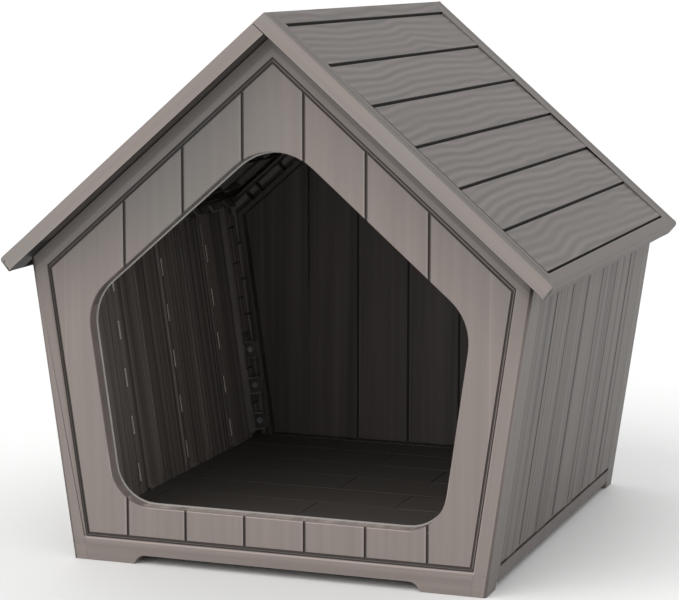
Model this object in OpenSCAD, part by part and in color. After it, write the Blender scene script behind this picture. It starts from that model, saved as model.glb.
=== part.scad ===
// Outdoor cat house: moulded board-look panels that plug together, a floor
// tray, a doorway in the front gable and two roof halves that lift off.
// Millimetres. +Z up, front faces -Y, +X is the right side seen from the front.
// Origin: middle of the whole object's footprint, on the ground.

/* [House body] */
// Width of the house at ground level
base_w = 457; // [440:1:470]
// Outward lean of the two side walls, degrees
side_lean = 8.04; // [7:0.01:9]
// Front face to back face
body_d = 542; // [530:1:550]
// Height of the gable's point
gable_z = 559.4; // [550:0.1:565]
// Underside of the bottom rail above the ground
foot_h = 9.4; // [8:0.1:11]
// Top of the floor inside
floor_z = 33; // [31:0.5:34]

/* [Panels] */
// Moulded wall thickness
wall = 3; // [2.6:0.1:3.2]
// Flat border beside the corner posts
frame_w = 15.9; // [14:0.1:16.5]
// Sloped step at the border's inner edge
bevel_w = 1.3; // [0.8:0.1:1.5]
// Narrow channel next to that step
slit_channel_w = 1.2; // [1:0.1:1.4]
// Ledge between the two channels
ledge_w = 0.9; // [0.7:0.1:1.2]
// Channel round the board field
channel_w = 2.3; // [1.6:0.1:2.4]
// How far the board field lies behind the border
recess = 1.5; // [1.2:0.1:1.8]
// Width of one front or back board
board_w = 66.4; // [62:0.1:68]
// Width of one side board
side_board_w = 67; // [65:0.1:67.2]
// Width of the grooves between boards
groove_w = 3; // [1.6:0.1:3.4]
// Depth of the grooves between boards
groove_d = 1.8; // [0.8:0.1:1.9]
// Depth of the front panel's corner returns
front_return = 40; // [38:1:42]
// Depth of the back panel's corner returns
back_return = 32; // [31:1:34]
// Outside radius of the corner posts
corner_r = 3; // [2.5:0.5:7]

/* [Doorway] */
// Half width of the doorway's side lines, taken down to the ground
door_half = 171.2; // [150:0.1:175]
// Point where the doorway's two slopes would meet
door_apex = 461.8; // [440:0.1:470]
// Height of the sill
sill_z = 61.8; // [55:0.1:70]
// Rounding of the doorway's front edge
door_edge = 1.5; // [1:0.1:1.8]
// Depth of the turned-in doorway flange
door_flange = 19; // [17:0.5:19]
// Corner radius at the sill
door_r_sill = 45; // [30:1:50]
// Corner radius at the shoulders
door_r_shoulder = 56; // [40:1:60]
// Corner radius at the top
door_r_top = 65; // [50:1:70]

/* [Roof] */
// Roof pitch, degrees
roof_pitch = 41; // [40:0.1:42]
// Height of the ridge
ridge_z = 581.4; // [580:0.1:583]
// Ridge to eave, along the slope
slope_len = 397.8; // [395:0.1:402]
// Depth of a roof half, square to the slope
roof_t = 16.1; // [15:0.1:16.2]
// Overhang past the front face
over_front = 22; // [20:0.5:24]
// Overhang past the back face
over_back = 15; // [13:0.5:18]
// Width of one roof board
lap_w = 60.2; // [58:0.1:60.4]
// Ridge to the first lap
first_lap = 18.1; // [16:0.1:18.2]
// Step at each lap
lap_step = 2.4; // [1.5:0.1:2.4]
// Rounding of the eave's upper edge
eave_r = 5; // [3:0.5:7]

/* [Vents] */
// Width of a vent slit
slit_w = 1.8; // [1.2:0.1:2.2]
// Height of a vent slit
slit_h = 19.6; // [12:0.2:24]
// Spacing of the slits up a groove
slit_pitch = 54.6; // [50:0.2:56]

/* [Fasteners] */
// Radius of the wall and floor screws
screw_r = 1.7; // [1.5:0.05:1.8]
// Radius of the shoulder screws that carry the turn buttons
pivot_r = 2.5; // [2:0.1:2.6]

/* [Hidden] */
$fn = 48;

total_d = body_d + over_front + over_back;
yf = -total_d / 2 + over_front;      // front face of the front panel
yb = yf + body_d;                    // back face of the back panel
k = tan(side_lean);
t = tan(roof_pitch);
cs = cos(side_lean);
cp = cos(roof_pitch);
sp = sin(roof_pitch);
rail_top = 24.6;                     // top of the side rails' slot line
field_z = 29.6;                      // bottom of the side walls' grooves
// insets of the border's lines: from the side, from the roof line, height of the lowest
line0 = [frame_w, frame_w + 0.2, 23.9];
line1 = [line0[0] + bevel_w, line0[1] + bevel_w, 25.3];
line2 = [line1[0] + slit_channel_w, line1[1] + slit_channel_w + 0.6, 26.4];
line3 = [line2[0] + ledge_w, line2[1] + ledge_w + 0.3, 27.4];
line4 = [line3[0] + channel_w, line3[1] + channel_w, 29.9];
gap = 0.3;                           // clearance between plugged pieces
flange_y = 20;                       // side panels' screw tabs, from a gable face
screw_w = [50, 96, 142];             // corner screws, up the side wall
floor_screw_x = [-130, -60, 60, 130];
floor_screw_z = 20;
slope_ribs = [34, 79, 124, 169, 214, 270, 310, 328];   // ribs down each gable slope
lock_s = 178;                        // turn button pivot, down the slope
lock_d = 20;                         // and below the roof's underside
body_col = [0.52, 0.49, 0.47];
roof_col = [0.50, 0.48, 0.46];
side_col = [0.47, 0.45, 0.43];
floor_col = [0.29, 0.27, 0.26];
steel_col = [0.72, 0.73, 0.75];
button_col = [0.16, 0.16, 0.16];

// ---- outlines -------------------------------------------------------------
// x of a line u inside the side wall's outer face, at height z (u <= 0)
function wall_x(u, z) = base_w / 2 + k * z + u / cs;
// where the side line, ds in, meets the roof line, dr in
function eave_pt(ds, dr) = let (
    a = base_w / 2 - ds / cs, b = gable_z - dr / cp,
    x = (a + k * b) / (1 + k * t)) [x, b - t * x];
function gable_pts(ds, dr, zb) = let (e = eave_pt(ds, dr)) [
    [-wall_x(-ds, zb), zb], [wall_x(-ds, zb), zb], e,
    [0, gable_z - dr / cp], [-e[0], e[1]]];

// outline of a strip of side wall from depth u0 to u1 (u <= 0 inwards), z0 to z1
function wall_strip(u0, u1, z0, z1) = [[wall_x(u0, z0), z0], [wall_x(u1, z0), z0], [wall_x(u1, z1), z1], [wall_x(u0, z1), z1]];

function unit(v) = v / norm(v);
// arc of radius rad that rounds the corner q between p and r
function corner_arc(p, q, r, rad, n) = let (
    a = unit(p - q), b = unit(r - q), h = acos(a * b) / 2,
    c = q + unit(a + b) * rad / sin(h),
    s = q + a * rad / tan(h), e = q + b * rad / tan(h),
    sa = atan2(s[1] - c[1], s[0] - c[0]),
    ea = atan2(e[1] - c[1], e[0] - c[0]),
    da = (ea - sa + 540) % 360 - 180)
    [for (i = [0:n]) c + rad * [cos(sa + da * i / n), sin(sa + da * i / n)]];
function door_corners(o) = let (
    a = door_half + o / cs, b = door_apex + o / cp, x = (a + k * b) / (1 + k * t)) [
    [-(a + k * (sill_z - o)), sill_z - o], [a + k * (sill_z - o), sill_z - o],
    [x, b - t * x], [0, b], [-x, b - t * x]];
function door_pts(o) = let (
    v = door_corners(o),
    r = [door_r_sill, door_r_sill, door_r_shoulder, door_r_top, door_r_shoulder])
    [for (i = [0:4]) each corner_arc(v[(i + 4) % 5], v[i], v[(i + 1) % 5], r[i] + o, 9)];

// ---- frames ---------------------------------------------------------------
// outline in X-Z, made solid from y0 to y1
module slab(pts, y0, y1) translate([0, y1, 0]) rotate([90, 0, 0]) linear_extrude(y1 - y0) polygon(pts);
module gable_slab(ds, dr, zb, y0, y1) slab(gable_pts(ds, dr, zb), y0, y1);
module inset(v, y0, y1) gable_slab(v[0], v[1], v[2], y0, y1);
// right side wall's own frame: x out through the wall, z up along it
module side_frame() translate([base_w / 2, 0, 0]) rotate([0, side_lean, 0]) children();
// right roof slope's own frame from a point on the ridge line: x down the slope, z out
module slope_frame(z) translate([0, 0, z]) rotate([0, roof_pitch, 0]) children();
module both_sides() { children(); mirror([1, 0, 0]) children(); }
// everything above the gable line, on the right-hand slope
module above_roof_line() slope_frame(gable_z) translate([-60, -400, 0]) cube([700, 900, 300]);

// ---- front and back gable panels, outer face at y = 0, +y into the house ---
module foot_block(len) {   // len is how far it runs back along the side wall
    // arched inner end with a small round where it meets the ground
    pts = concat([for (a = [0:15:60]) [146.7 + 12 * sin(a) * 0.975, foot_h - 12 + 12 * cos(a) * 0.975 + 0.3]],
        [[157.9, 1.4], [159, 0.4], [160.6, 0], [wall_x(0, 0), 0], [wall_x(0, foot_h + 1), foot_h + 1], [146.7, foot_h + 1]]);
    difference() {
        union() {
            slab(pts, 0, 19);                    // under the gable
            intersection() {                     // and back along the side wall
                slab(pts, 0, len);
                translate([200, -1, -1]) cube([40, 40, 20]);
            }
        }
        slab([[162, 2.6], [197, 2.6], [197, 40], [152, 40], [152, foot_h]], 3.5, 20);
        slab([[203, 2.6], [222, 2.6], [222.5, 40], [203, 40]], 3.5, len - 3);
    }
}
module gable_panel(door, ret) {
    difference() {
        union() {
            gable_slab(0, 0, foot_h, 0, 3.5);
            gable_slab(10, 10, 16, 3, recess + wall);
            difference() {                       // rim round the panel
                gable_slab(0, 0, foot_h, 0, 19);
                gable_slab(wall, wall, foot_h + wall, -1, 20);
            }
            difference() {                       // inner frame rib
                gable_slab(17, 17, 27, 4, 16);
                gable_slab(23, 23, 33, 3.5, 20);
            }
            both_sides() {
                slab(wall_strip(-wall, 0, foot_h, 352), 0, ret);   // corner return
                side_frame() {
                    translate([-6, 3, 12]) cube([3.2, 3, 300]);
                    for (w = screw_w) translate([-12.5, 3, w]) rotate([-90, 0, 0]) cylinder(r = 5, h = flange_y - 3.2);
                    // ribs between the rim and the inner frame rib
                    for (i = [0:5]) translate([-17.5, 4, 49.5 + 45 * i]) cube([10.6, 10, 2]);
                }
                // ribs across the sloping channel
                slope_frame(gable_z) for (s = slope_ribs) translate([s, 3, -22.4]) cube([2, 12, 20.4]);
                lock_at() rotate([-90, 0, 0]) translate([0, 0, 4]) cylinder(r = 5.5, h = 20.2);
                foot_block(door ? 34 : 30);
            }
            for (x = floor_screw_x) translate([x, 3, floor_screw_z]) rotate([-90, 0, 0]) cylinder(r = 4.5, h = 16.7);
        }
        // moulded border: a sloped step, two channels with a ledge between, then the board field
        hull() {
            inset(line0, -1, 0);
            inset(line1, 1.19, 1.2);
        }
        inset(line1, 1, recess);
        difference() {
            inset(line1, recess - 0.5, recess + 1.1);
            inset(line2, recess - 1, recess + 2);
        }
        difference() {
            inset(line3, recess - 0.5, recess + 1.6);
            inset(line4, recess - 1, recess + 2);
        }
        intersection() {                         // grooves between boards
            inset(line3, recess - 0.5, recess + groove_d);
            for (i = [-2.5:1:2.5]) translate([i * board_w - groove_w / 2, 0, 0]) cube([groove_w, 12, 600]);
        }
        both_sides() {
            above_roof_line();
            side_frame() {
                difference() {                   // rounded corner post
                    translate([-corner_r, -1, -20]) cube([corner_r + 1, corner_r + 1, 420]);
                    translate([-corner_r, corner_r, -21]) cylinder(r = corner_r, h = 422);
                }
                for (w = screw_w) translate([-12.5, 8, w]) rotate([-90, 0, 0]) cylinder(r = screw_r + 0.05, h = 20);
            }
            lock_at() rotate([-90, 0, 0]) translate([0, 0, 9]) cylinder(r = pivot_r + 0.05, h = 20);
        }
        for (x = floor_screw_x) translate([x, 8, floor_screw_z]) rotate([-90, 0, 0]) cylinder(r = screw_r + 0.05, h = 20);
        if (door) {
            slab(door_pts(0), -5, 40);
            hull() {                             // rounded front edge of the doorway
                slab(door_pts(door_edge), recess - 1, recess);
                slab(door_pts(door_edge * 0.3), recess + door_edge * 0.3 - 0.01, recess + door_edge * 0.3);
            }
            hull() {
                slab(door_pts(door_edge * 0.3), recess + door_edge * 0.3 - 0.01, recess + door_edge * 0.3);
                slab(door_pts(0), recess + door_edge - 0.01, recess + door_edge);
            }
        }
    }
    if (door) {                                  // turned-in flange with a small lip
        difference() {
            slab(door_pts(wall), recess + 2, door_flange);
            slab(door_pts(0), recess - 1, door_flange - 2);
            slab(door_pts(-1.5), door_flange - 3, door_flange + 1);
        }
    } else {                                     // inner skin with board lines
        difference() {
            gable_slab(24, 24, 34, recess + wall - 0.2, recess + wall + 1.5);
            for (i = [-2.5:1:2.5]) translate([i * board_w + 0.8, recess + wall - 0.1, 0]) cube([2.4, 3, 600]);
        }
    }
}
module front_panel() color(body_col) translate([0, yf, 0]) gable_panel(true, front_return);
module back_panel() color(body_col) translate([0, yb, 0]) mirror([0, 1, 0]) gable_panel(false, back_return);

// ---- side panels ----------------------------------------------------------
module end_joint(yo) {   // tongue that tucks behind a corner post; yo is the post's return
    f = flange_y;
    difference() {
        union() {
            translate([-6.3, 6.6, 37]) cube([3, f - 6, 279]);
            translate([-6.3, f, 37]) cube([3, yo + 1.5 - f, 320]);
            translate([-6.3, yo + 1, 37]) cube([3.3, 7.5, 320]);
        }
        for (i = [0:5]) translate([-7, 6, 72 + 45 * i]) cube([1.9, yo - 6.5, 1.8]);   // lines across it
    }
    for (w = screw_w) difference() {             // tabs for the corner screws
        union() {
            translate([-22, f, w - 11]) cube([18.5, 3, 22]);
            for (s = [-11, 9]) translate([-20, f + 2.5, w + s]) cube([14.5, 8, 2]);
        }
        translate([-12.5, f - 1, w]) rotate([-90, 0, 0]) cylinder(r = screw_r + 0.4, h = 6);
    }
    translate([-9.5, yo + 6, 37]) cube([3.5, 2.5, 320]);
}
module side_panel() {
    y1 = yf + front_return + gap * 2;
    y2 = yb - back_return - gap * 2;
    difference() {
        union() {
            side_frame() {
                translate([-wall, y1, rail_top + 2.6]) cube([wall, y2 - y1, 330]);
                translate([0, yf, 0]) end_joint(front_return);
                translate([0, yb, 0]) mirror([0, 1, 0]) end_joint(back_return);
                // ridges behind the board grooves
                for (i = [1:6]) translate([-wall - 1.4, yf + front_return + side_board_w * i - 6, 40])
                    cube([1.6, 12, 272]);
                // tongues that plug into the floor tray
                for (y = [90, 210, 330, 450]) translate([0, yf + y - 18, 0]) {
                    translate([-6.3, 0, 13]) cube([3, 36, 19]);
                    translate([-6.3, 0, 26.5]) cube([3.5, 36, 8]);
                }
            }
            // top flange under the eave, with castellations
            slope_frame(gable_z) {
                translate([338, yf + 24, -3]) cube([20, body_d - 48, 3]);
                for (i = [0:9]) translate([338, yf + 44 + 48 * i, -14]) cube([3, 24, 12]);
            }
        }
        above_roof_line();
        side_frame() {
            for (i = [1:6]) translate([-groove_d, yf + front_return + side_board_w * i - groove_w / 2, field_z + 0.4])
                cube([groove_d + 1, groove_w, 340]);
            for (c = [2, 4, 6], i = [0:4])
                translate([-8, yf + front_return + side_board_w * c - slit_w / 2, 56.4 + slit_pitch * i - slit_h / 2])
                    cube([12, slit_w, slit_h]);
        }
    }
}
module right_side_panel() color(side_col) side_panel();
module left_side_panel() color(side_col) mirror([1, 0, 0]) side_panel();

// ---- floor tray -----------------------------------------------------------
module floor_tray() color(floor_col) {
    y1 = yf + front_return + gap * 2;
    y2 = yb - back_return - gap * 2;
    e1 = yf + 20;
    e2 = yb - 20;
    lo = foot_h + 1.4;
    difference() {
        union() {
            slab([[-wall_x(-6.7, floor_z - 3), floor_z - 3], [wall_x(-6.7, floor_z - 3), floor_z - 3],
                [wall_x(-6.7, floor_z), floor_z], [-wall_x(-6.7, floor_z), floor_z]], e1, e2);
            both_sides() {
                slab([[wall_x(-9.7, lo), lo], [wall_x(-6.7, lo), lo], [wall_x(-6.7, floor_z), floor_z], [wall_x(-9.7, floor_z), floor_z]], e1, e2);
                slab([[wall_x(-9.7, 19.6), 19.6], [wall_x(0, 19.6), 19.6], [wall_x(0, 22.9), 22.9], [wall_x(-9.7, 22.9), 22.9]], y1, y2);
                slab([[wall_x(-3, 7.7), 7.7], [wall_x(0, 7.7), 7.7], [wall_x(0, 22.9), 22.9], [wall_x(-3, 22.9), 22.9]], y1, y2);
            }
            for (y = [e1, e2 - 3]) slab([[-wall_x(-8, lo), lo], [wall_x(-8, lo), lo], [wall_x(-8, floor_z), floor_z], [-wall_x(-8, floor_z), floor_z]], y, y + 3);
            // stiffening grid underneath
            for (i = [-4:4]) translate([51 * i - 1.2, e1 + 1, 14]) cube([2.4, e2 - e1 - 2, 17]);
            for (i = [1:8]) translate([-218, e1 + i * (e2 - e1) / 9 - 1.2, 14]) cube([436, 2.4, 17]);
        }
        // slots for the side panels' tongues
        both_sides() side_frame() for (y = [90, 210, 330, 450])
            translate([-6.7, yf + y - 18.6, 17]) cube([3.7, 37.2, 12]);
        for (x = floor_screw_x, y = [e1 - 1, e2 - 4]) translate([x, y, floor_screw_z]) rotate([-90, 0, 0]) cylinder(r = screw_r + 0.4, h = 5);
        // board lines in the floor
        for (i = [1:7]) translate([-232, yf - 1 + 67 * i - 0.8, floor_z - 0.8]) cube([464, 1.6, 2]);
        for (i = [0:7], j = [0:2]) translate([-206.8 + 180 * j + (i % 2) * 90, max(yf - 1 + 67 * i, e1 - 1), floor_z - 0.8])
            cube([1.6, 67, 2]);
    }
}

// ---- roof halves ----------------------------------------------------------
roof_y0 = yf - over_front;
roof_y1 = yb + over_back;
module roof_outer(cap) {
    // the right half runs through to the left slope; the left half butts under it
    s_in = -roof_t / tan(2 * roof_pitch);
    s_cap = roof_t / sin(2 * roof_pitch) + 0.4;
    s0 = cap ? 0 : s_cap;
    pts = [[s0, 0], [slope_len - eave_r, 0], [slope_len, -eave_r], [slope_len, -roof_t], [s0 + s_in, -roof_t]];
    difference() {
        union() {
            slab(pts, roof_y0, roof_y1);
            translate([slope_len - eave_r, roof_y1, -eave_r]) rotate([90, 0, 0]) cylinder(r = eave_r, h = roof_y1 - roof_y0);
        }
        for (m = [0, 1]) translate([0, m ? roof_y1 : roof_y0, 0]) mirror([0, m, 0]) difference() {
            translate([slope_len - 3, -1, -30]) cube([6, 4, 40]);
            translate([slope_len - 3, 3, -31]) cylinder(r = 3, h = 42);
        }
    }
}
module ear() {   // hangs from the roof inside a gable; the turn button swings over its shelf
    translate([140, flange_y + 0.6, -roof_t - 27.3]) cube([30, 3, 27.3 + roof_t - 4]);
    translate([150, flange_y + 3, -roof_t - 27.3]) cube([20, 10, 3]);
    translate([149, flange_y + 3, -roof_t - 27.3]) cube([2.4, 6, 22]);
}
module roof_half(cap) {
    i0 = cap ? 3.5 : 24;
    f0 = roof_y0 + 23.4;
    f1 = roof_y1 - 33.5;
    slope_frame(ridge_z) {
        difference() {
            roof_outer(cap);
            // hollow underside
            translate([i0, roof_y0 + wall, -roof_t - 1]) cube([slope_len - wall - 4 - i0, roof_y1 - roof_y0 - 2 * wall, roof_t + 1 - 5.2]);
            translate([slope_len - 12, roof_y0 + 30, -roof_t - 1]) cube([12 - wall, roof_y1 - roof_y0 - 60, roof_t + 1 - 9]);
            // lapped boards: each surface rises to its lower edge, then steps down
            for (i = [0:5]) {
                s0 = first_lap + lap_w * i;
                s1 = s0 + lap_w;
                sa = (cap || i > 0) ? s0 : s0 - 12;
                slab([[sa, 1], [sa, -lap_step], [s0, -lap_step], [s1, 0], [s1, 1]], f0, f1);
            }
            for (i = [(cap ? 0 : 1):6]) translate([first_lap + lap_w * i - 0.4, f0, -lap_step - 1.5]) cube([2.5, f1 - f0, 6]);
            // fine double lines along the front and back borders
            for (y = [roof_y0 + 10, roof_y0 + 12.6, roof_y1 - 10.8, roof_y1 - 13.4])
                translate([cap ? 5 : 26, y, -0.6]) cube([slope_len - (cap ? 16 : 37), 0.8, 2]);
        }
        // ribs under the roof, in staggered cells
        for (i = [0:5]) translate([48 + 58 * i, roof_y0 + 2, -13.5]) cube([2.2, roof_y1 - roof_y0 - 4, 9]);
        for (i = [0:6], j = [0:8]) {
            a = (i == 0) ? i0 - 1 : 49 + 58 * (i - 1);
            b = (i == 6) ? slope_len - 10 : 49 + 58 * i;
            translate([a, roof_y0 + 44 + 58 * j + (i % 2) * 29, -13.5]) cube([b - a, 2.2, 9]);
        }
        // soffits under the two overhangs, which bear on the gables, and a bearer over the side wall
        for (y = [[roof_y0 + 2, yf + 11], [yb - 11, roof_y1 - 2]])
            translate([i0 - 1, y[0], -roof_t]) cube([slope_len - 4 - i0, y[1] - y[0], 2.7]);
        translate([350, roof_y0 + 2, -roof_t]) cube([2.4, roof_y1 - roof_y0 - 4, roof_t - 4]);
        translate([0, yf, 0]) ear();
        translate([0, yb, 0]) mirror([0, 1, 0]) ear();
    }
}
module right_roof_half() color(roof_col) roof_half(true);
module left_roof_half() color(roof_col) mirror([1, 0, 0]) roof_half(false);

// ---- fasteners ------------------------------------------------------------
// self-tapping screw along +y, head's seat at y = 0, pointing to -y
module tapping_screw(len) rotate([90, 0, 0]) difference() {
    union() {
        cylinder(r = screw_r, h = len);
        translate([0, 0, -2.4]) cylinder(r = 3.8, h = 2.4);
    }
    for (a = [0, 90]) rotate([0, 0, a]) translate([-2.2, -0.5, -3]) cube([4.4, 1, 1.6]);
}
module corner_screw_set() side_frame() for (w = screw_w) translate([-12.5, flange_y + 3, w]) tapping_screw(14);
module floor_screw_set() for (x = floor_screw_x) translate([x, flange_y + 3, floor_screw_z]) tapping_screw(14);
module at_front() translate([0, yf, 0]) children();
module at_back() translate([0, yb, 0]) mirror([0, 1, 0]) children();
module front_right_corner_screws() color(steel_col) at_front() corner_screw_set();
module front_left_corner_screws() color(steel_col) at_front() mirror([1, 0, 0]) corner_screw_set();
module back_right_corner_screws() color(steel_col) at_back() corner_screw_set();
module back_left_corner_screws() color(steel_col) at_back() mirror([1, 0, 0]) corner_screw_set();
module front_floor_screws() color(steel_col) at_front() floor_screw_set();
module back_floor_screws() color(steel_col) at_back() floor_screw_set();

// ---- turn buttons that hold the roof halves down ---------------------------
// turn button pivot on the right-hand slope, z out of the slope
module lock_at() slope_frame(ridge_z) translate([lock_s, 0, -roof_t - lock_d]) children();
module turn_button() lock_at() translate([0, flange_y + 4.6, 0]) difference() {
    union() {
        rotate([-90, 0, 0]) cylinder(r = 7, h = 6);
        translate([-4, 0, 0]) cube([8, 6, 12]);
        translate([0, 0, 12]) rotate([-90, 0, 0]) cylinder(r = 4, h = 6);
        translate([-1.5, 5, 8]) cube([3, 7, 7.5]);
    }
    translate([0, -1, 0]) rotate([-90, 0, 0]) cylinder(r = pivot_r + 0.05, h = 9);
}
module pivot_screw() lock_at() rotate([-90, 0, 0]) difference() {
    union() {
        translate([0, 0, 10]) cylinder(r = pivot_r, h = flange_y + 1.2);
        translate([0, 0, flange_y + 11]) cylinder(r = 5, h = 2.6);
    }
    for (a = [0, 90]) rotate([0, 0, a]) translate([-2.8, -0.6, flange_y + 12.2]) cube([5.6, 1.2, 3]);
}
module turn_button_front_right() color(button_col) at_front() turn_button();
module turn_button_front_left() color(button_col) at_front() mirror([1, 0, 0]) turn_button();
module turn_button_back_right() color(button_col) at_back() turn_button();
module turn_button_back_left() color(button_col) at_back() mirror([1, 0, 0]) turn_button();
module pivot_screw_front_right() color(steel_col) at_front() pivot_screw();
module pivot_screw_front_left() color(steel_col) at_front() mirror([1, 0, 0]) pivot_screw();
module pivot_screw_back_right() color(steel_col) at_back() pivot_screw();
module pivot_screw_back_left() color(steel_col) at_back() mirror([1, 0, 0]) pivot_screw();

floor_tray();
front_panel();
back_panel();
left_side_panel();
right_side_panel();
left_roof_half();
right_roof_half();
front_left_corner_screws();
front_right_corner_screws();
back_left_corner_screws();
back_right_corner_screws();
front_floor_screws();
back_floor_screws();
turn_button_front_left();
turn_button_front_right();
turn_button_back_left();
turn_button_back_right();
pivot_screw_front_left();
pivot_screw_front_right();
pivot_screw_back_left();
pivot_screw_back_right();
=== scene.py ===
import bpy, bmesh, math
from mathutils import Vector, Matrix


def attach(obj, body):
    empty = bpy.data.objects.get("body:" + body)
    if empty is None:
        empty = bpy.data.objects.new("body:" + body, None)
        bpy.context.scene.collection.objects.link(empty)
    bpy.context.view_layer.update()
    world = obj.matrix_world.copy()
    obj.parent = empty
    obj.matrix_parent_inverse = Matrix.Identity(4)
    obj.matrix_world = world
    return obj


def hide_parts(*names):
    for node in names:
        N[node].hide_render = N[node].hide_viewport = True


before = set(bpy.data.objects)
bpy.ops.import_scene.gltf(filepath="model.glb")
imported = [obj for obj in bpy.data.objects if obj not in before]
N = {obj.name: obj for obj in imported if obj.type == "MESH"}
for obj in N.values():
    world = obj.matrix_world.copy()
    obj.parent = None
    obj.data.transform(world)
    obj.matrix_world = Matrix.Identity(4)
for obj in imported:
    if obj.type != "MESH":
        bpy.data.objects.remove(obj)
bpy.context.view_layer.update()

# ---- sizes shared with the CAD source (metres) ----------------------------------
YF, YB = -0.2675, 0.2745
BASE = 0.2285
LEAN = math.radians(8.04)
K, CS, SIN = math.tan(LEAN), math.cos(LEAN), math.sin(LEAN)
PITCH = math.radians(41)
T, CP, SP = math.tan(PITCH), math.cos(PITCH), math.sin(PITCH)
GABLE = 0.5594
RIDGE = 0.5814
BOARD = 0.0664
SIDE0, SIDE_BOARD = YF + 0.040, 0.067
LAP0, LAP = 0.0181, 0.0602


# ---- node helpers ----------------------------------------------------------------
class G:
    """A small builder for shader maths."""

    def __init__(self, name):
        self.mat = bpy.data.materials.new(name)
        self.mat.use_nodes = True
        self.t = self.mat.node_tree
        self.t.nodes.clear()
        self.out = self.t.nodes.new("ShaderNodeOutputMaterial")
        self.bsdf = self.t.nodes.new("ShaderNodeBsdfPrincipled")
        self.t.links.new(self.bsdf.outputs[0], self.out.inputs[0])
        tc = self.t.nodes.new("ShaderNodeTexCoord")
        self.obj = tc.outputs["Object"]
        sep = self.t.nodes.new("ShaderNodeSeparateXYZ")
        self.t.links.new(self.obj, sep.inputs[0])
        self.x, self.y, self.z = sep.outputs
        sn = self.t.nodes.new("ShaderNodeSeparateXYZ")
        self.t.links.new(tc.outputs["Normal"], sn.inputs[0])
        self.nx, self.ny, self.nz = sn.outputs

    def put(self, sock, v):
        if isinstance(v, bpy.types.NodeSocket):
            self.t.links.new(v, sock)
        else:
            sock.default_value = v

    def m(self, op, a, b=0.0, c=0.0, clamp=False):
        n = self.t.nodes.new("ShaderNodeMath")
        n.operation = op
        n.use_clamp = clamp
        self.put(n.inputs[0], a)
        self.put(n.inputs[1], b)
        self.put(n.inputs[2], c)
        return n.outputs[0]

    def add(self, a, b): return self.m("ADD", a, b)
    def sub(self, a, b): return self.m("SUBTRACT", a, b)
    def mul(self, a, b): return self.m("MULTIPLY", a, b)
    def mad(self, a, b, c): return self.m("MULTIPLY_ADD", a, b, c)
    def absv(self, a): return self.m("ABSOLUTE", a)
    def lt(self, a, b): return self.m("LESS_THAN", a, b)
    def gt(self, a, b): return self.m("GREATER_THAN", a, b)
    def mn(self, a, b): return self.m("MINIMUM", a, b)
    def mx(self, a, b): return self.m("MAXIMUM", a, b)

    def ramp(self, v, a, b, lo=0.0, hi=1.0, smooth=True):
        n = self.t.nodes.new("ShaderNodeMapRange")
        n.interpolation_type = "SMOOTHSTEP" if smooth else "LINEAR"
        n.clamp = True
        self.put(n.inputs["Value"], v)
        for k, q in (("From Min", a), ("From Max", b), ("To Min", lo), ("To Max", hi)):
            self.put(n.inputs[k], q)
        return n.outputs[0]

    def mixf(self, f, a, b):
        n = self.t.nodes.new("ShaderNodeMix")
        n.data_type = "FLOAT"
        self.put(n.inputs[0], f)
        self.put(n.inputs[2], a)
        self.put(n.inputs[3], b)
        return n.outputs[0]

    def mixc(self, f, a, b, how="MIX"):
        n = self.t.nodes.new("ShaderNodeMix")
        n.data_type = "RGBA"
        n.blend_type = how
        self.put(n.inputs[0], f)
        self.put(n.inputs[6], a)
        self.put(n.inputs[7], b)
        return n.outputs[2]

    def vec(self, x, y, z):
        n = self.t.nodes.new("ShaderNodeCombineXYZ")
        for i, v in enumerate((x, y, z)):
            self.put(n.inputs[i], v)
        return n.outputs[0]

    def noise(self, v, scale=1.0, detail=2.0, rough=0.5, dist=0.0):
        n = self.t.nodes.new("ShaderNodeTexNoise")
        self.put(n.inputs["Vector"], v)
        n.inputs["Scale"].default_value = scale
        n.inputs["Detail"].default_value = detail
        n.inputs["Roughness"].default_value = rough
        n.inputs["Distortion"].default_value = dist
        return n.outputs[0]

    def white(self, v):
        n = self.t.nodes.new("ShaderNodeTexWhiteNoise")
        n.noise_dimensions = "1D"
        self.put(n.inputs["W"], v)
        return n.outputs["Value"]

    def sin(self, a): return self.m("SINE", a)

    def bump(self, height, strength, dist, normal=None):
        n = self.t.nodes.new("ShaderNodeBump")
        n.inputs["Strength"].default_value = strength
        n.inputs["Distance"].default_value = dist
        self.put(n.inputs["Height"], height)
        if normal is not None:
            self.t.links.new(normal, n.inputs["Normal"])
        return n.outputs[0]

    def scalec(self, col, f):
        """colour times a number"""
        n = self.t.nodes.new("ShaderNodeVectorMath")
        n.operation = "SCALE"
        self.put(n.inputs[0], col if isinstance(col, bpy.types.NodeSocket) else col[:3])
        self.put(n.inputs["Scale"], f)
        return n.outputs[0]

    def finish(self, col, rough, normal=None, metallic=None):
        self.put(self.bsdf.inputs["Base Color"], col)
        self.put(self.bsdf.inputs["Roughness"], rough)
        if normal is not None:
            self.t.links.new(normal, self.bsdf.inputs["Normal"])
        return self.mat


def srgb(r, g, b):
    f = lambda c: (c / 255 / 12.92) if c <= 10.3 else ((c / 255 + 0.055) / 1.055) ** 2.4
    return (f(r), f(g), f(b), 1.0)


# one plastic throughout: the side and roof pairs are copies of the front pair painted darker, as painted shade where
# less light falls
FRONT_A, FRONT_B = srgb(124.5, 119, 114.5), srgb(126.8, 117, 112.8)
SIDE_A, SIDE_B = srgb(96.5, 91.2, 87.6), srgb(97.5, 91.2, 88.0)
ROOF_A, ROOF_B = srgb(97, 90.9, 86.3), srgb(98, 90.9, 87)


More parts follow.
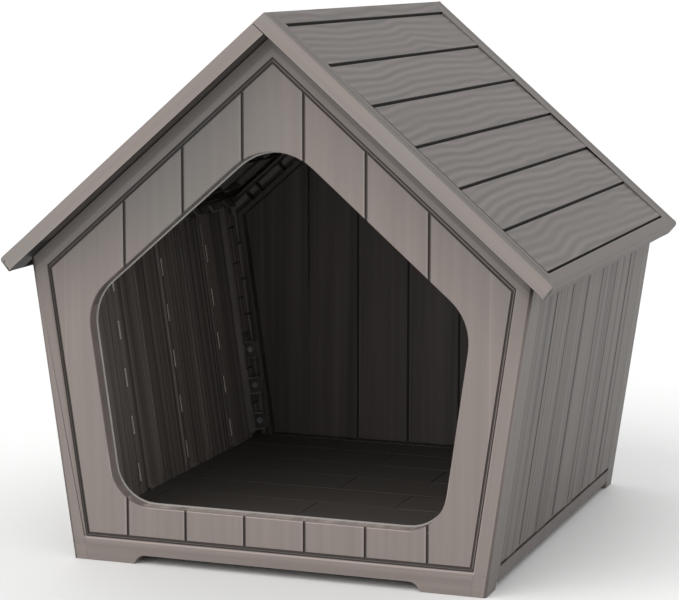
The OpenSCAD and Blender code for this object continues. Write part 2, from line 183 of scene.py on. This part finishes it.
def fibres(g, across, along, seed, fine=1.0):
    """(broad streaks, fine fibres) of moulded wood grain, both about 0..1.
    across and along are coordinates in metres; seed shifts each board."""
    warp = g.noise(g.vec(g.mul(across, 14.0), g.mul(along, 5.0), seed), 1.0, 1.0)
    a = g.mad(warp, 0.006, across)
    broad = g.noise(g.vec(g.mul(a, 125.0), g.mul(along, 2.4), seed), 1.0, 1.5, 0.5)
    thin = g.noise(g.vec(g.mul(a, 560.0 * fine), g.mul(along, 7.0), g.add(seed, 7.3)), 1.0, 2.0, 0.6)
    return broad, thin


def tinted(g, pair, tone, hue):
    """Warm grey that drifts a little between two casts; tone is brightness about 1."""
    return g.scalec(g.mixc(g.ramp(hue, 0.30, 0.70), pair[0], pair[1]), tone)


def surface_bits(g):
    """Fine moulded texture and a slow cloud, for roughness and colour."""
    grain = g.noise(g.obj, 2600.0, 2.0, 0.6)
    cloud = g.noise(g.obj, 8.0, 2.0, 0.5)
    return grain, cloud


# ---- gable panels -------------------------------------------------------------------
def gable_material(name, yface, sign, inside_tone):
    """sign is +1 where the panel's inside lies towards +Y."""
    g = G(name)
    ax = g.absv(g.x)
    d_side = g.mul(g.sub(g.mad(g.z, K, BASE), ax), CS)
    d_top = g.mul(g.sub(GABLE, g.mad(ax, T, g.z)), CP)
    field = g.mul(g.mul(g.gt(d_side, 0.0216), g.gt(d_top, 0.0227)), g.gt(g.z, 0.0299))
    yin = g.mul(g.sub(g.y, yface), sign)
    facing = g.mul(g.ny, -sign)                       # 1 on faces that look outward
    # boards
    idx = g.m("FLOOR", g.m("DIVIDE", g.add(g.x, 4.0 * BOARD), BOARD))
    rnd = g.white(g.mad(idx, 1.37, 3.1 + yface))
    b_broad, b_thin = fibres(g, g.x, g.z, g.mul(idx, 3.7))
    # border: upright posts, rails along the roof slopes, a level rail at the bottom
    s_slope = g.add(g.mul(ax, CP), g.mul(g.z, -SP))
    sgn = g.m("SIGN", g.x)
    r_broad, r_thin = fibres(g, d_top, s_slope, g.mad(sgn, 5.0, 31.0))
    # the posts' grain runs on round the corner
    p_broad, p_thin = fibres(g, g.sub(d_side, yin), g.z, g.mad(sgn, 9.0, 61.0))
    l_broad, l_thin = fibres(g, g.z, g.x, 91.0)
    on_rail = g.mul(g.lt(d_top, d_side), g.gt(g.z, 0.06))
    on_low = g.mul(g.lt(g.z, 0.0270), g.gt(d_side, 0.0180))
    bb = g.mixf(on_low, g.mixf(on_rail, p_broad, r_broad), l_broad)
    bt = g.mixf(on_low, g.mixf(on_rail, p_thin, r_thin), l_thin)
    broad = g.mixf(field, bb, b_broad)
    thin = g.mixf(field, bt, b_thin)
    grain, cloud = surface_bits(g)
    # the grain fades where a post's corner is rounded
    flat = g.ramp(g.absv(g.sub(g.absv(facing), 0.5)), 0.30, 0.47, 0.12, 1.0)
    flat = g.mul(flat, g.mixf(g.mul(g.lt(d_side, 0.0030), g.gt(yin, 0.0024)), 1.0, 0.40))
    tone = g.mad(g.mul(g.sub(broad, 0.5), flat), 0.26, 1.0)
    tone = g.mad(g.mul(g.sub(thin, 0.5), flat), 0.10, tone)
    tone = g.mul(tone, g.mixf(field, 1.0, g.mad(g.sub(rnd, 0.5), 0.05, 1.0)))
    # painted shade and highlight in soft light and dark bands along the bottom rail
    band = g.noise(g.vec(g.mul(g.z, 170.0), g.mul(g.x, 1.5), 4.4), 1.0, 1.0, 0.4)
    tone = g.mul(tone, g.mixf(g.lt(g.z, 0.0245), 1.0, g.mad(g.sub(band, 0.5), 0.30, 1.0)))
    upper = g.mul(g.ramp(g.z, 0.26, 0.40), g.ramp(g.x, 0.06, -0.04))
    side_on = g.mul(g.lt(d_side, 0.0030), g.gt(yin, 0.0028))
    hue = g.add(g.mad(g.sub(cloud, 0.5), 0.6, g.mul(rnd, 0.15)), g.mixf(g.mx(upper, side_on), 0.62, 0.22))
    # doorway outline: distance out from it, and the flange's inner lip, with a painted highlight
    door = g.mx(g.mx(g.mul(g.sub(ax, g.mad(g.z, 0.1412, 0.1712)), 0.990),
                     g.mul(g.sub(g.mad(ax, 0.8693, g.z), 0.4618), 0.7547)), g.sub(0.0618, g.z))
    # painted shade in the channels and grooves, darkest in the grooves' left-hand halves
    shaded_channels = g.mul(g.gt(yin, 0.0020), g.lt(yin, 0.0038))
    shaded_channels = g.mul(shaded_channels, g.mul(g.mul(g.gt(d_side, 0.0165), g.gt(d_top, 0.0166)), g.gt(g.z, 0.0246)))
    off = g.sub(g.m("MODULO", g.add(g.x, 4.0 * BOARD), BOARD), BOARD / 2)
    in_groove = g.mul(field, g.lt(g.absv(off), 0.0019))
    shaded_channels = g.mul(shaded_channels, g.mx(in_groove, g.sub(1.0, field)))
    tone = g.mul(tone, g.mixf(shaded_channels, 1.0, g.mixf(in_groove, 0.32, g.ramp(off, -0.0004, 0.0008, 0.18, 0.60))))
    # the ledge between the channels: in shade at the left and the bottom
    ring = g.mul(g.mul(g.gt(d_side, 0.0171), g.gt(d_top, 0.0173)), g.mul(g.gt(g.z, 0.0252), g.sub(1.0, field)))
    ring = g.mul(ring, g.mul(g.gt(yin, 0.0011), g.lt(yin, 0.0021)))
    right = g.mul(g.gt(g.x, 0.0), g.gt(g.z, 0.0290))
    tone = g.mul(tone, g.mixf(ring, 1.0, g.mixf(right, 0.42, 0.80)))
    # painted highlights where edges catch the light: a board's right-hand edge, the rail's top edge, the border's
    # step
    board_edge_highlight = g.mul(g.mul(g.mul(g.gt(off, -0.0036), g.lt(off, -0.0019)), field), g.lt(yin, 0.0020))
    tone = g.mul(tone, g.mixf(board_edge_highlight, 1.0, 1.14))
    rail_edge_highlight = g.mul(g.mul(g.gt(g.z, 0.0230), g.lt(g.z, 0.0247)), g.mul(g.gt(d_side, 0.0155), g.lt(yin, 0.0013)))
    tone = g.mul(tone, g.mixf(rail_edge_highlight, 1.0, 1.50))
    step_highlight = g.mul(g.mul(g.gt(d_side, 0.0155), g.lt(d_side, 0.0171)), g.mul(g.gt(g.z, 0.0246), g.gt(d_top, 0.0166)))
    tone = g.mul(tone, g.mixf(g.mul(step_highlight, g.gt(g.x, 0.0)), 1.0, 1.14))
    # painted shade and highlight in soft bands along the bottom rail, and the line where a post meets it
    low = g.mul(g.lt(g.z, 0.0228), g.mul(g.gt(d_side, 0.0167), g.gt(facing, 0.3)))
    rail_bands_shade = g.mx(g.ramp(g.z, 0.0095, 0.0130, 0.96, 0.90), g.ramp(g.z, 0.0150, 0.0205, 0.90, 1.10))
    tone = g.mul(tone, g.mixf(low, 1.0, rail_bands_shade))
    seam = g.mul(g.lt(g.absv(g.sub(d_side, 0.0162)), 0.0006), g.mul(g.lt(g.z, 0.0235), g.gt(facing, 0.3)))
    tone = g.mul(tone, g.mixf(seam, 1.0, 0.86))
    # the roof's shade on the slopes, and a dark line where it rests on them
    out = g.mul(g.gt(facing, 0.3), g.lt(yin, 0.0150))
    shade = g.mul(g.ramp(d_top, 0.0104, 0.0118, 0.54, 0.74), g.ramp(d_top, 0.0008, 0.0016, 0.30, 1.0))
    shade = g.mixf(g.gt(d_top, 0.0166), shade, g.ramp(d_top, 0.0190, 0.1000, 0.84, 1.0))
    tone = g.mul(tone, g.mixf(out, 1.0, shade))
    # painted shade: the upper boards' outward faces darker
    tone = g.mul(tone, g.mixf(g.mul(out, g.mul(upper, g.gt(d_top, 0.0166))), 1.0, 0.80))
    # the corner returns lie away from the light; the rounded corner catches it
    back = g.mul(g.lt(d_side, 0.0030), g.gt(yin, 0.0028))
    tone = g.mul(tone, g.mixf(back, 1.0, 0.67))
    glint = g.mul(g.mul(g.gt(facing, 0.35), g.lt(facing, 0.80)), g.mul(g.lt(d_side, 0.0045), g.lt(yin, 0.0045)))
    tone = g.mul(tone, g.mixf(glint, 1.0, 1.12))
    # painted highlight along the flange's inner lip
    lip_highlight = g.mul(g.mul(g.gt(yin, 0.0166), g.lt(yin, 0.0195)), g.lt(door, 0.0004))
    tone = g.mul(tone, g.mixf(lip_highlight, 1.0, 1.9))
    # painted light: the sill flange's upward face lighter
    sill = g.mul(g.mul(g.gt(yin, 0.0035), g.lt(yin, 0.0166)), g.mul(g.gt(g.nz, 0.5), g.lt(g.absv(door), 0.0010)))
    tone = g.mul(tone, g.mixf(g.mul(sill, g.lt(g.z, 0.0700)), 1.0, 1.7))
    # painted highlight along the doorway's rounded edge, strongest at the bottom
    rim = g.mul(g.mul(g.gt(door, 0.0001), g.lt(door, 0.0017)), g.mul(g.gt(yin, 0.00165), g.lt(yin, 0.0034)))
    if sign > 0:
        tone = g.mul(tone, g.mixf(rim, 1.0, g.ramp(g.z, 0.10, 0.14, 1.62, 1.08)))
    inner = g.mul(g.gt(yin, 0.0040), g.lt(facing, 0.2))
    inner = g.mul(inner, g.mul(g.mul(g.gt(d_side, 0.0015), g.gt(d_top, 0.0015)), g.gt(g.z, 0.0120)))
    inner = g.mul(inner, g.sub(1.0, lip_highlight))
    # the inside keeps stronger moulding streaks
    wide = g.noise(g.vec(g.mul(g.x, 60.0), g.mul(g.z, 1.6), 17.0), 1.0, 2.0, 0.55)
    tone = g.mul(tone, g.mixf(inner, 1.0, g.mad(g.sub(wide, 0.5), 1.5, 1.0)))
    if sign < 0:
        # painted shade in the inner skin's joint lines, with a painted highlight on the strip beside each
        skin = g.mul(g.mul(g.gt(d_side, 0.0235), g.gt(d_top, 0.0235)), g.mul(g.gt(g.z, 0.0335), g.gt(yin, 0.0041)))
        skin = g.mul(skin, g.lt(ax, 0.150))
        joint = g.mul(g.mul(g.gt(off, 0.0006), g.lt(off, 0.0034)), skin)
        ridge = g.mul(g.mul(g.gt(off, 0.0034), g.lt(off, 0.0052)), skin)
        tone = g.mul(tone, g.mixf(joint, 1.0, 0.12))
        tone = g.mul(tone, g.mixf(ridge, 1.0, 1.35))
    # painted shade: the flange is darkest where it faces down on the left
    dim = g.mul(g.mul(g.gt(yin, 0.0040), g.lt(g.nz, -0.3)), g.mul(g.lt(g.x, 0.0), g.lt(door, 0.0010)))
    if sign > 0:
        tone = g.mul(tone, g.mixf(g.mul(dim, g.sub(1.0, lip_highlight)), 1.0, 0.62))
    # painted light and shade inside: the inner faces scaled by inside_tone
    col = tinted(g, (FRONT_A, FRONT_B), g.mul(tone, g.mixf(inner, 1.0, inside_tone)), hue)
    # the lip's painted highlight also pales its colour
    if sign > 0:
        col = g.mixc(g.mul(lip_highlight, 0.8), col, g.scalec(srgb(158, 158, 154), g.mad(g.sub(thin, 0.5), 0.2, 1.0)))
    rough = g.mixf(shaded_channels, g.mad(g.sub(thin, 0.5), 0.16, g.mad(grain, 0.10, 0.52)), 0.95)
    h = g.add(g.mul(broad, 0.6), g.mad(thin, 0.35, g.mul(grain, 0.06)))
    return g.finish(col, rough, g.bump(h, 0.30, 0.0006))


# ---- side panels ----------------------------------------------------------------------
def side_material(name, sx, inside_tone):
    g = G(name)
    idx = g.m("FLOOR", g.m("DIVIDE", g.add(g.y, -SIDE0 + SIDE_BOARD), SIDE_BOARD))
    rnd = g.white(g.mad(idx, 2.11, 5.7 + sx))
    seed = g.mad(idx, 4.1, 13.0 + 3 * sx)
    broad, thin = fibres(g, g.y, g.z, seed, 1.3)
    grain, cloud = surface_bits(g)
    # narrow dark grain lines that gather in bundles
    drift = g.mad(g.noise(g.vec(g.mul(g.y, 9.0), g.mul(g.z, 2.0), seed), 1.0, 1.0), 0.004, g.y)
    cut = g.noise(g.vec(g.mul(drift, 165.0), g.mul(g.z, 0.7), g.add(seed, 2.0)), 1.0, 0.0, 0.5)
    cut2 = g.noise(g.vec(g.mul(drift, 290.0), g.mul(g.z, 1.1), g.add(seed, 5.0)), 1.0, 0.0, 0.5)
    bundle = g.ramp(g.noise(g.vec(g.mul(g.y, 42.0), g.mul(g.z, 0.9), g.add(seed, 9.0)), 1.0, 1.0, 0.5), 0.38, 0.58)
    lines = g.mul(g.add(g.ramp(cut, 0.545, 0.60), g.mul(g.ramp(cut2, 0.535, 0.60), 0.60)), g.mad(bundle, 0.50, 0.50))
    tone = g.mad(g.sub(broad, 0.5), 0.28, 1.03)
    tone = g.mad(g.sub(thin, 0.5), 0.24, tone)
    tone = g.mul(tone, g.mad(g.sub(rnd, 0.5), 0.05, 1.0))
    tone = g.mul(tone, g.mad(lines, -0.44, 1.11))
    # depth in from the wall's outer face
    dep = g.mul(g.sub(g.mad(g.z, K, BASE), g.mul(g.x, sx)), CS)
    # painted shade in the outer face's grooves
    groove = g.mul(g.ramp(dep, 0.0007, 0.0015), g.lt(dep, 0.0021))
    tone = g.mul(tone, g.mixf(groove, 1.0, 0.34))
    # the inside stops short of the flange under the eave
    d_top = g.mul(g.sub(GABLE, g.mad(g.mul(g.x, sx), T, g.z)), CP)
    inner = g.mul(g.gt(dep, 0.0021), g.gt(d_top, 0.0040))
    # painted shade on the inner faces that look to the front or back
    tone = g.mul(tone, g.mixf(g.mul(inner, g.gt(g.absv(g.ny), 0.5)), 1.0, 0.55))
    # painted light and shade on the inside: soft reeds and lighter bands behind the board joints, darker towards the
    # top, all scaled by inside_tone
    reed = g.sin(g.mul(g.add(g.y, g.mul(g.sub(broad, 0.5), 0.012)), 2 * math.pi / 0.0105))
    joint = g.sub(g.m("MODULO", g.add(g.y, -SIDE0 + 2 * SIDE_BOARD + SIDE_BOARD / 2), SIDE_BOARD), SIDE_BOARD / 2)
    band = g.ramp(g.absv(joint), 0.0075, 0.0055)
    wide = g.noise(g.vec(g.mul(g.y, 26.0), g.mul(g.z, 1.0), 3.0), 1.0, 1.0)
    t_in = g.mul(g.mad(reed, 0.13, 0.90), g.mad(band, 0.14, 1.0))
    t_in = g.mul(t_in, g.mad(g.sub(wide, 0.5), 0.9, 1.0))
    t_in = g.mul(t_in, g.mad(g.sub(cut2, 0.5), 1.6, 1.0))
    t_in = g.mul(t_in, g.ramp(g.z, 0.24, 0.37, 1.0, 0.72))
    tone = g.mul(tone, g.mixf(inner, 1.0, g.mul(t_in, inside_tone)))
    # light comes through the vent slits and catches their walls
    u2 = g.sub(g.m("MODULO", g.add(g.y, -SIDE0 + 3 * SIDE_BOARD), 2 * SIDE_BOARD), SIDE_BOARD)
    up = g.m("DIVIDE", g.sub(g.z, g.mul(dep, SIN)), CS)
    v2 = g.sub(g.m("MODULO", g.sub(up, 0.0564 - 0.0546 * 1.5), 0.0546), 0.0273)
    slit = g.mul(g.mul(g.lt(g.absv(u2), 0.0019), g.lt(g.absv(v2), 0.0103)), g.mul(inner, g.lt(up, 0.2860)))
    tone = g.mul(tone, g.mixf(slit, 1.0, 3.6))
    hue = g.add(g.mul(g.sub(cloud, 0.5), 0.8), g.mad(rnd, 0.4, 0.3))
    col = tinted(g, (SIDE_A, SIDE_B), tone, hue)
    rough = g.mad(g.sub(thin, 0.5), 0.16, g.mad(grain, 0.10, 0.54))
    h = g.sub(g.add(g.mul(broad, 0.5), g.mad(thin, 0.35, g.mul(grain, 0.06))), g.mul(lines, 0.5))
    return g.finish(col, rough, g.bump(h, 0.35, 0.0006))


# ---- roof halves ------------------------------------------------------------------------
def roof_material(name, sx):
    g = G(name)
    rz = g.sub(g.z, RIDGE)
    xs = g.mul(g.x, sx)
    s = g.sub(g.mul(xs, CP), g.mul(rz, SP))          # down the slope
    d = g.add(g.mul(xs, SP), g.mul(rz, CP))          # out of the slope, 0 at the surface
    u = g.m("MODULO", g.sub(s, LAP0 - 2 * LAP), LAP)
    idx = g.m("FLOOR", g.m("DIVIDE", g.sub(s, LAP0 - 2 * LAP), LAP))
    rnd = g.white(g.mad(idx, 1.93, 9.1 + sx))
    seed = g.mad(idx, 2.9, 20.0 + 5 * sx)
    # wavy figure that runs along the ridge
    warp = g.noise(g.vec(g.mul(s, 6.0), g.mul(g.y, 5.0), seed), 1.0, 1.0, 0.5)
    warp2 = g.noise(g.vec(g.mul(s, 20.0), g.mul(g.y, 13.0), g.add(seed, 3.3)), 1.0, 1.0, 0.5)
    sw = g.add(g.mad(g.sub(warp, 0.5), 0.032, s), g.mul(g.sub(warp2, 0.5), 0.005))
    rip = g.mad(g.sin(g.mul(sw, 2 * math.pi / 0.0112)), 0.5, 0.5)
    amp2 = g.noise(g.vec(g.mul(sw, 30.0), g.mul(g.y, 7.0), g.add(seed, 6.1)), 1.0, 1.0, 0.5)
    wave = g.noise(g.vec(g.mul(sw, 120.0), g.mul(g.y, 1.6), g.add(seed, 1.1)), 1.0, 1.0, 0.45)
    wave = g.add(g.mul(wave, 0.55), g.mul(g.mad(g.sub(rip, 0.5), g.ramp(amp2, 0.28, 0.52, 0.35, 1.0), 0.5), 0.45))
    thin = g.noise(g.vec(g.mul(sw, 520.0), g.mul(g.y, 9.0), g.add(seed, 8.8)), 1.0, 2.0, 0.6)
    # plain fascias and borders carry straight lengthwise streaks instead
    front = g.mul(g.gt(g.absv(g.ny), 0.5), g.gt(g.absv(g.y), 0.2870))
    f_broad, f_thin = fibres(g, d, s, g.mad(g.m("SIGN", g.y), 4.0, 40.0 + sx))
    on_board = g.mul(g.mul(g.gt(g.y, -0.2895 + 0.0234), g.lt(g.y, 0.2895 - 0.0335)), g.gt(g.nz, 0.3))
    on_board = g.mul(on_board, g.lt(s, LAP0 + 6 * LAP))
    e_broad, e_thin = fibres(g, g.y, s, g.mad(g.m("SIGN", g.y), 3.0, 70.0 + sx))
    wave = g.mixf(on_board, g.mixf(front, e_broad, f_broad), wave)
    thin = g.mixf(on_board, g.mixf(front, e_thin, f_thin), thin)
    grain, cloud = surface_bits(g)
    amp = g.mixf(on_board, g.mixf(front, 0.16, 0.30), 1.25)
    tone = g.mad(g.sub(wave, 0.5), amp, 1.0)
    tone = g.mad(g.sub(thin, 0.5), 0.06, tone)
    tone = g.mul(tone, g.mixf(on_board, 1.0, g.mad(g.sub(rnd, 0.5), 0.03, 1.0)))
    # painted shade in the slot under each board's lower edge
    u3 = g.m("MODULO", g.sub(s, LAP0 - 2 * LAP - 0.0008), LAP)
    boards = g.mul(g.gt(g.y, -0.2895 + 0.0225), g.lt(g.y, 0.2895 - 0.0325))
    slot = g.mul(g.mul(g.lt(u3, 0.0027), g.lt(d, -0.0006)), g.gt(d, -0.0046))
    tone = g.mul(tone, g.mixf(g.mul(slot, boards), 1.0, 0.07))
    # painted highlight on the edge just below each slot
    edge = g.mul(g.mul(g.gt(u3, 0.0027), g.lt(u3, 0.0042)), g.gt(d, -0.0036))
    tone = g.mul(tone, g.mixf(g.mul(edge, boards), 1.0, 1.28))
    # the soffits lie in shade, darkest against the fascia
    soffit = g.mul(g.lt(d, -0.0156), g.lt(g.absv(g.ny), 0.5))
    near = g.ramp(g.absv(g.y), 0.2830, 0.2875, 0.62, 0.22)
    tone = g.mul(tone, g.mixf(soffit, 1.0, near))
    # the fascia's lower edge catches the light
    tone = g.mul(tone, g.mixf(g.mul(front, g.lt(d, -0.0150)), 1.0, 1.25))
    hue = g.add(g.mul(g.sub(cloud, 0.5), 0.7), 0.5)
    # painted shade on the undersides
    under = g.mul(g.lt(d, -0.0046), g.lt(g.nz, 0.6))
    under = g.mul(under, g.lt(g.absv(g.ny), 0.9))
    tone = g.mul(tone, g.mixf(under, 1.0, 0.75))
    # the eave's underside lies in the darkest shade
    eave = g.mul(under, g.mul(g.gt(s, 0.3450), g.lt(s, 0.3945)))
    tone = g.mul(tone, g.mixf(eave, 1.0, 0.35))
    # painted light: the fascias take the front pair, a little brighter
    base = g.mixc(front, g.mixc(g.ramp(hue, 0.3, 0.7), ROOF_A, ROOF_B), g.scalec(g.mixc(g.ramp(hue, 0.3, 0.7), FRONT_A, FRONT_B), 1.06))
    col = g.scalec(base, tone)
    rough = g.mixf(g.mul(slot, boards), g.mad(g.sub(wave, 0.5), 0.10, g.mad(grain, 0.10, 0.52)), 0.95)
    h = g.add(g.mul(wave, 0.9), g.mad(thin, 0.25, g.mul(grain, 0.06)))
    return g.finish(col, rough, g.bump(h, 0.35, 0.0010))


# ---- floor, screws, buttons ---------------------------------------------------------------
def floor_material():
    g = G("floor_plastic_look")
    row = g.m("FLOOR", g.m("DIVIDE", g.add(g.y, 1.0), 0.067))
    broad, thin = fibres(g, g.y, g.x, g.mul(row, 2.3))
    grain, cloud = surface_bits(g)
    tone = g.mad(g.sub(broad, 0.5), 0.30, 1.0)
    tone = g.mad(g.sub(thin, 0.5), 0.18, tone)
    tone = g.mad(g.sub(cloud, 0.5), 0.10, tone)
    rail = g.gt(g.absv(g.x), 0.2275)                  # the outer rail is wall-coloured
    dark = g.scalec(srgb(88, 83, 79), tone)
    # painted shade in the gap along the rail's top edge
    line = g.mul(g.gt(g.z, 0.0231), g.lt(g.z, 0.0300))
    col = g.mixc(rail, dark, g.scalec(SIDE_B, g.mul(tone, g.mixf(line, 1.1, 0.3))))
    rough = g.mad(grain, 0.12, g.mad(thin, 0.10, 0.50))
    h = g.add(g.mul(broad, 0.5), g.mad(thin, 0.4, g.mul(grain, 0.15)))
    return g.finish(col, rough, g.bump(h, 0.35, 0.0006))


def steel_material():
    g = G("screw_steel_look")
    brushed = g.noise(g.vec(g.mul(g.x, 400.0), g.mul(g.y, 4000.0), g.mul(g.z, 400.0)), 1.0, 3.0, 0.6)
    cloud = g.noise(g.obj, 260.0, 3.0, 0.5)
    col = g.mixc(cloud, (0.52, 0.53, 0.56, 1), (0.66, 0.66, 0.63, 1))
    g.bsdf.inputs["Metallic"].default_value = 1.0
    rough = g.mad(brushed, 0.22, g.mad(cloud, 0.10, 0.20))
    return g.finish(col, rough, g.bump(brushed, 0.25, 0.0002))


def button_material():
    g = G("button_nylon_look")
    grain = g.noise(g.obj, 3400.0, 2.0, 0.6)
    cloud = g.noise(g.obj, 120.0, 3.0, 0.5)
    col = g.scalec(srgb(46, 46, 47), g.mad(g.sub(cloud, 0.5), 0.5, 1.0))
    rough = g.mad(grain, 0.2, g.mad(cloud, 0.15, 0.32))
    return g.finish(col, rough, g.bump(grain, 0.4, 0.0003))


# inside_tone paints light and shade on the inner faces: the back panel's inside darker, the side panels' insides
# lighter
mats = {
    "front_panel": gable_material("front_panel_look", YF, 1, 1.05),
    "back_panel": gable_material("back_panel_look", YB, -1, 0.42),
    "left_side_panel": side_material("left_side_look", -1, 2.6),
    "right_side_panel": side_material("right_side_look", 1, 2.6),
    "left_roof_half": roof_material("left_roof_look", -1),
    "right_roof_half": roof_material("right_roof_look", 1),
    "floor_tray": floor_material(),
}
steel, nylon = steel_material(), button_material()
for n, o in N.items():
    m = mats.get(n) or (nylon if n.startswith("turn_button") else steel)
    o.data.materials.clear()
    o.data.materials.append(m)


# ---- mouldings with rounded edges -------------------------------------------------------------
def moulding(node, width, body, segments=2, weld=3e-5, min_corner=8.0):
    """A copy of a CAD node with its sharp edges rounded, as a moulded part has them.
    Edges beside narrow ledges and channels get a small rounding, the others the
    full one. A long edge with a tight end is split a little before that end, and
    rounded up to there."""
    bm = bmesh.new()
    bm.from_mesh(N[node].data)
    bmesh.ops.remove_doubles(bm, verts=bm.verts, dist=weld)
    bmesh.ops.dissolve_degenerate(bm, dist=weld, edges=bm.edges)
    bmesh.ops.dissolve_limit(bm, angle_limit=math.radians(0.6), verts=bm.verts, edges=bm.edges, use_dissolve_boundaries=False)
    small = 0.00028
    kind = bm.edges.layers.int.new("kind")

    def sharp_edges():
        return [e for e in bm.edges if len(e.link_faces) == 2 and e.calc_face_angle(0) > math.radians(28)]

    def room(e):
        """width of the narrower face beside the edge"""
        return min(2 * f.calc_area() / sum(l.edge.calc_length() for l in f.loops) for f in e.link_faces)

    def tight_verts(w):
        out = set()
        for f in bm.faces:
            for l in f.loops:
                if math.degrees(l.calc_angle()) < min_corner:
                    out.add(l.vert)
        for e in sharp_edges():
            if e.calc_length() < w * 1.5:
                out.update(e.verts)
        return out

    for e in sharp_edges():
        r = room(e)
        e[kind] = 2 if r > width * 2.1 else (1 if r > small * 2.3 else 0)
    for k, w, segs in ((2, width, segments), (1, small, 1)):
        other = set()
        if k == 2:
            for e in sharp_edges():
                if e[kind] != 2:
                    other.update(e.verts)
        tight = tight_verts(w) | other
        for e in [e for e in sharp_edges() if e[kind] == k and e.calc_length() > w * 9 and (e.verts[0] in tight or e.verts[1] in tight)]:
            for v in list(e.verts):
                if v in tight and e.is_valid and e.calc_length() > w * 6:
                    e, nv = bmesh.utils.edge_split(e, v, w * 2.5 / e.calc_length())
                    far = [q for q in nv.link_edges if v not in q.verts]
                    e = far[0] if far else e
        tight = tight_verts(w) | other
        pick = [e for e in sharp_edges() if e[kind] == k and e.verts[0] not in tight and e.verts[1] not in tight]
        bmesh.ops.bevel(bm, geom=pick, offset=w, offset_type="OFFSET", segments=segs, profile=0.5, affect="EDGES", clamp_overlap=False)
    me = bpy.data.meshes.new(node + "_moulding")
    bm.to_mesh(me)
    bm.free()
    for p in me.polygons:
        p.use_smooth = True
    me.set_sharp_from_angle(angle=math.radians(50))
    ob = bpy.data.objects.new(node + "_moulding", me)
    bpy.context.scene.collection.objects.link(ob)
    me.materials.append(mats.get(node) or nylon)
    wn = ob.modifiers.new("face weighted normals", "WEIGHTED_NORMAL")
    wn.keep_sharp = True
    wn.weight = 90
    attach(ob, body)
    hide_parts(node)
    return ob


moulding("front_panel", 0.0008, "base", 3)
moulding("back_panel", 0.0007, "base")
moulding("left_side_panel", 0.0006, "base")
moulding("right_side_panel", 0.0006, "base")
moulding("floor_tray", 0.0006, "base")
moulding("left_roof_half", 0.0009, "left_roof", 3)
moulding("right_roof_half", 0.0009, "right_roof", 3)
for side in ("front_left", "front_right", "back_left", "back_right"):
    moulding("turn_button_" + side, 0.0005, "button_" + side)


# ---- light, floor and camera ---------------------------------------------------------------------
scene = bpy.context.scene
scene.view_settings.view_transform = "Standard"
scene.view_settings.look = "None"

world = bpy.data.worlds.new("studio")
scene.world = world
world.use_nodes = True
wt = world.node_tree
bg = wt.nodes["Background"]
bg.inputs[0].default_value = (1.0, 1.0, 1.0, 1)
# an even soft sky with a brighter band at the horizon, where it meets the floor
tc = wt.nodes.new("ShaderNodeTexCoord")
sp = wt.nodes.new("ShaderNodeSeparateXYZ")
mr = wt.nodes.new("ShaderNodeMapRange")
wt.links.new(tc.outputs["Generated"], sp.inputs[0])
wt.links.new(sp.outputs[2], mr.inputs["Value"])
for k, v in (("From Min", 0.06), ("From Max", 0.16), ("To Min", 1.05), ("To Max", 0.82)):
    mr.inputs[k].default_value = v
wt.links.new(mr.outputs[0], bg.inputs[1])


def sun(name, towards, strength, angle, colour=(1, 1, 1)):
    """Even light from the direction `towards`; a wide angle keeps its shadows soft."""
    li = bpy.data.lights.new(name, "SUN")
    li.energy = strength
    li.angle = math.radians(angle)
    li.color = colour
    ob = bpy.data.objects.new(name, li)
    scene.collection.objects.link(ob)
    ob.rotation_euler = (-Vector(towards)).to_track_quat("-Z", "Y").to_euler()
    return ob


sun("key", (-0.38, -0.78, 0.66), 1.25, 64, (1.0, 0.99, 0.975))
sun("rim", (0.30, 0.75, 0.60), 0.30, 60)

fm = G("studio_floor_look")
fcol = fm.scalec((0.95, 0.95, 0.95, 1), fm.mad(fm.noise(fm.obj, 3.0, 3.0), 0.03, 0.985))
fm.finish(fcol, fm.mad(fm.noise(fm.obj, 900.0, 2.0), 0.1, 0.6))
me = bpy.data.meshes.new("studio_floor")
w = 40.0
me.from_pydata([(-w, -w, 0), (w, -w, 0), (w, w, 0), (-w, w, 0)], [], [(0, 1, 2, 3)])
floor = bpy.data.objects.new("studio_floor", me)
me.materials.append(fm.mat)
scene.collection.objects.link(floor)
floor.location.z = -0.0002

cam_data = bpy.data.cameras.new("camera")
cam = bpy.data.objects.new("camera", cam_data)
scene.collection.objects.link(cam)
cam_data.sensor_width = 36
cam_data.lens = 122.51
cam_data.clip_start, cam_data.clip_end = 0.05, 60
cam.location = (0.8556, -2.4279, 0.6384)
look = Vector((0.0158, -0.11225, 0.2694)) - Vector(cam.location)
quat = look.to_track_quat("-Z", "Y")
cam.rotation_mode = "QUATERNION"
cam.rotation_quaternion = quat @ Matrix.Rotation(math.radians(0.055), 4, "Z").to_quaternion()
scene.camera = cam
